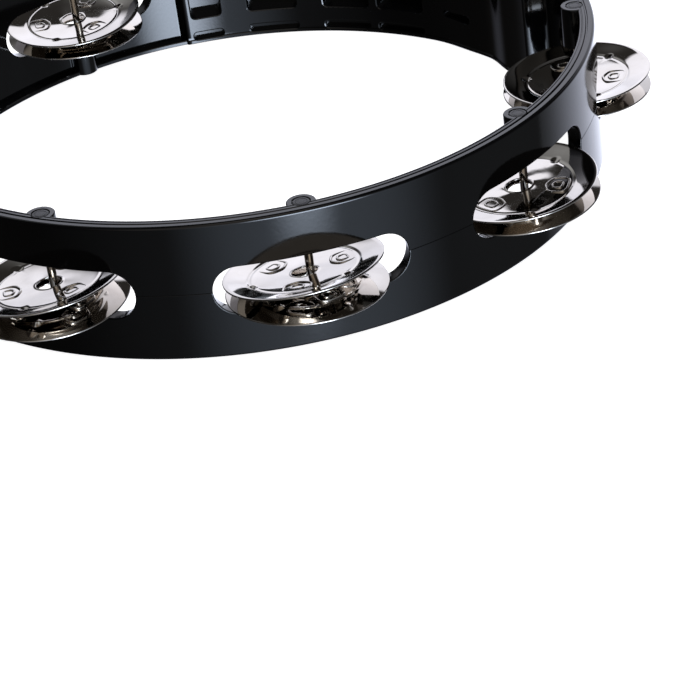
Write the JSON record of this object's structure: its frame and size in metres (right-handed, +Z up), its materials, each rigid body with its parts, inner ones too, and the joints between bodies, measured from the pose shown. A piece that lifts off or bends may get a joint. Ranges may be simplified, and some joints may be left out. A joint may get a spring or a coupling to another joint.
{
  "type": "headless tambourine",
  "caption": "Black moulded ring tambourine without a skin, with pairs of stamped steel jingles on pins in slots round the wall and a plain curved hand grip.",
  "frame": {"origin": "middle of the underside of the whole tambourine's bounding box; the ring's own axis is parallel to Z and 11.1 mm from the origin towards +Y", "axes": "+Z up along the ring's axis, +Y towards the middle of the hand grip, +X to the right with the grip behind"},
  "size_m": [0.2886, 0.2762, 0.0474],
  "materials": {
    "frame_plastic": "gloss",
    "jingle_plate": "bright plated",
    "pin_steel": "bright",
    "plug_plastic": "satin"
  },
  "bodies": {
    "frame": {"frame_upper_shell": "frame_plastic", "frame_lower_shell": "frame_plastic", "boss_plug_1": "plug_plastic", "boss_plug_2": "plug_plastic", "boss_plug_3": "plug_plastic", "boss_plug_4": "plug_plastic", "boss_plug_5": "plug_plastic", "boss_plug_6": "plug_plastic", "boss_plug_7": "plug_plastic"},
    "pin_1": {"jingle_pin_1": "pin_steel"},
    "lower_plate_1": {"lower_jingle_1": "jingle_plate"},
    "upper_plate_1": {"upper_jingle_1": "jingle_plate"},
    "pin_2": {"jingle_pin_2": "pin_steel"},
    "lower_plate_2": {"lower_jingle_2": "jingle_plate"},
    "upper_plate_2": {"upper_jingle_2": "jingle_plate"},
    "pin_3": {"jingle_pin_3": "pin_steel"},
    "lower_plate_3": {"lower_jingle_3": "jingle_plate"},
    "upper_plate_3": {"upper_jingle_3": "jingle_plate"},
    "pin_4": {"jingle_pin_4": "pin_steel"},
    "lower_plate_4": {"lower_jingle_4": "jingle_plate"},
    "upper_plate_4": {"upper_jingle_4": "jingle_plate"},
    "pin_5": {"jingle_pin_5": "pin_steel"},
    "lower_plate_5": {"lower_jingle_5": "jingle_plate"},
    "upper_plate_5": {"upper_jingle_5": "jingle_plate"},
    "pin_6": {"jingle_pin_6": "pin_steel"},
    "lower_plate_6": {"lower_jingle_6": "jingle_plate"},
    "upper_plate_6": {"upper_jingle_6": "jingle_plate"},
    "pin_7": {"jingle_pin_7": "pin_steel"},
    "lower_plate_7": {"lower_jingle_7": "jingle_plate"},
    "upper_plate_7": {"upper_jingle_7": "jingle_plate"}
  },
  "joints": [
    {"name": "pin_1_spin", "type": "hinge", "parent": "frame", "child": "pin_1", "pos_m": [0, -0.10988, 0], "axis": [0, 0, 1], "continuous": true},
    {"name": "lower_1_slide", "type": "slide", "parent": "pin_1", "child": "lower_plate_1", "axis": [0, 0, 1], "range_m": [0, 0.0006]},
    {"name": "upper_1_slide", "type": "slide", "parent": "lower_plate_1", "child": "upper_plate_1", "axis": [0, 0, 1], "range_m": [0, 0.001]},
    {"name": "pin_2_spin", "type": "hinge", "parent": "frame", "child": "pin_2", "pos_m": [0.07778, -0.08157, 0], "axis": [0, 0, 1], "continuous": true},
    {"name": "lower_2_slide", "type": "slide", "parent": "pin_2", "child": "lower_plate_2", "axis": [0, 0, 1], "range_m": [0, 0.0006]},
    {"name": "upper_2_slide", "type": "slide", "parent": "lower_plate_2", "child": "upper_plate_2", "axis": [0, 0, 1], "range_m": [0, 0.001]},
    {"name": "pin_3_spin", "type": "hinge", "parent": "frame", "child": "pin_3", "pos_m": [0.11916, -0.00989, 0], "axis": [0, 0, 1], "continuous": true},
    {"name": "lower_3_slide", "type": "slide", "parent": "pin_3", "child": "lower_plate_3", "axis": [0, 0, 1], "range_m": [0, 0.0022]},
    {"name": "upper_3_slide", "type": "slide", "parent": "lower_plate_3", "child": "upper_plate_3", "axis": [0, 0, 1], "range_m": [0, 0.0034]},
    {"name": "pin_4_spin", "type": "hinge", "parent": "frame", "child": "pin_4", "pos_m": [0.10479, 0.07162, 0], "axis": [0, 0, 1], "continuous": true},
    {"name": "lower_4_slide", "type": "slide", "parent": "pin_4", "child": "lower_plate_4", "axis": [0, 0, 1], "range_m": [0, 0.0027]},
    {"name": "upper_4_slide", "type": "slide", "parent": "lower_plate_4", "child": "upper_plate_4", "axis": [0, 0, 1], "range_m": [0, 0.004]},
    {"name": "pin_5_spin", "type": "hinge", "parent": "frame", "child": "pin_5", "pos_m": [-0.10479, 0.07162, 0], "axis": [0, 0, 1], "continuous": true},
    {"name": "lower_5_slide", "type": "slide", "parent": "pin_5", "child": "lower_plate_5", "axis": [0, 0, 1], "range_m": [0, 0.0017]},
    {"name": "upper_5_slide", "type": "slide", "parent": "lower_plate_5", "child": "upper_plate_5", "axis": [0, 0, 1], "range_m": [0, 0.0026]},
    {"name": "pin_6_spin", "type": "hinge", "parent": "frame", "child": "pin_6", "pos_m": [-0.11916, -0.00989, 0], "axis": [0, 0, 1], "continuous": true},
    {"name": "lower_6_slide", "type": "slide", "parent": "pin_6", "child": "lower_plate_6", "axis": [0, 0, 1], "range_m": [0, 0.0022]},
    {"name": "upper_6_slide", "type": "slide", "parent": "lower_plate_6", "child": "upper_plate_6", "axis": [0, 0, 1], "range_m": [0, 0.0034]},
    {"name": "pin_7_spin", "type": "hinge", "parent": "frame", "child": "pin_7", "pos_m": [-0.07778, -0.08157, 0], "axis": [0, 0, 1], "continuous": true},
    {"name": "lower_7_slide", "type": "slide", "parent": "pin_7", "child": "lower_plate_7", "axis": [0, 0, 1], "range_m": [0, 0.0019]},
    {"name": "upper_7_slide", "type": "slide", "parent": "lower_plate_7", "child": "upper_plate_7", "axis": [0, 0, 1], "range_m": [0, 0.0028]}
  ]
}
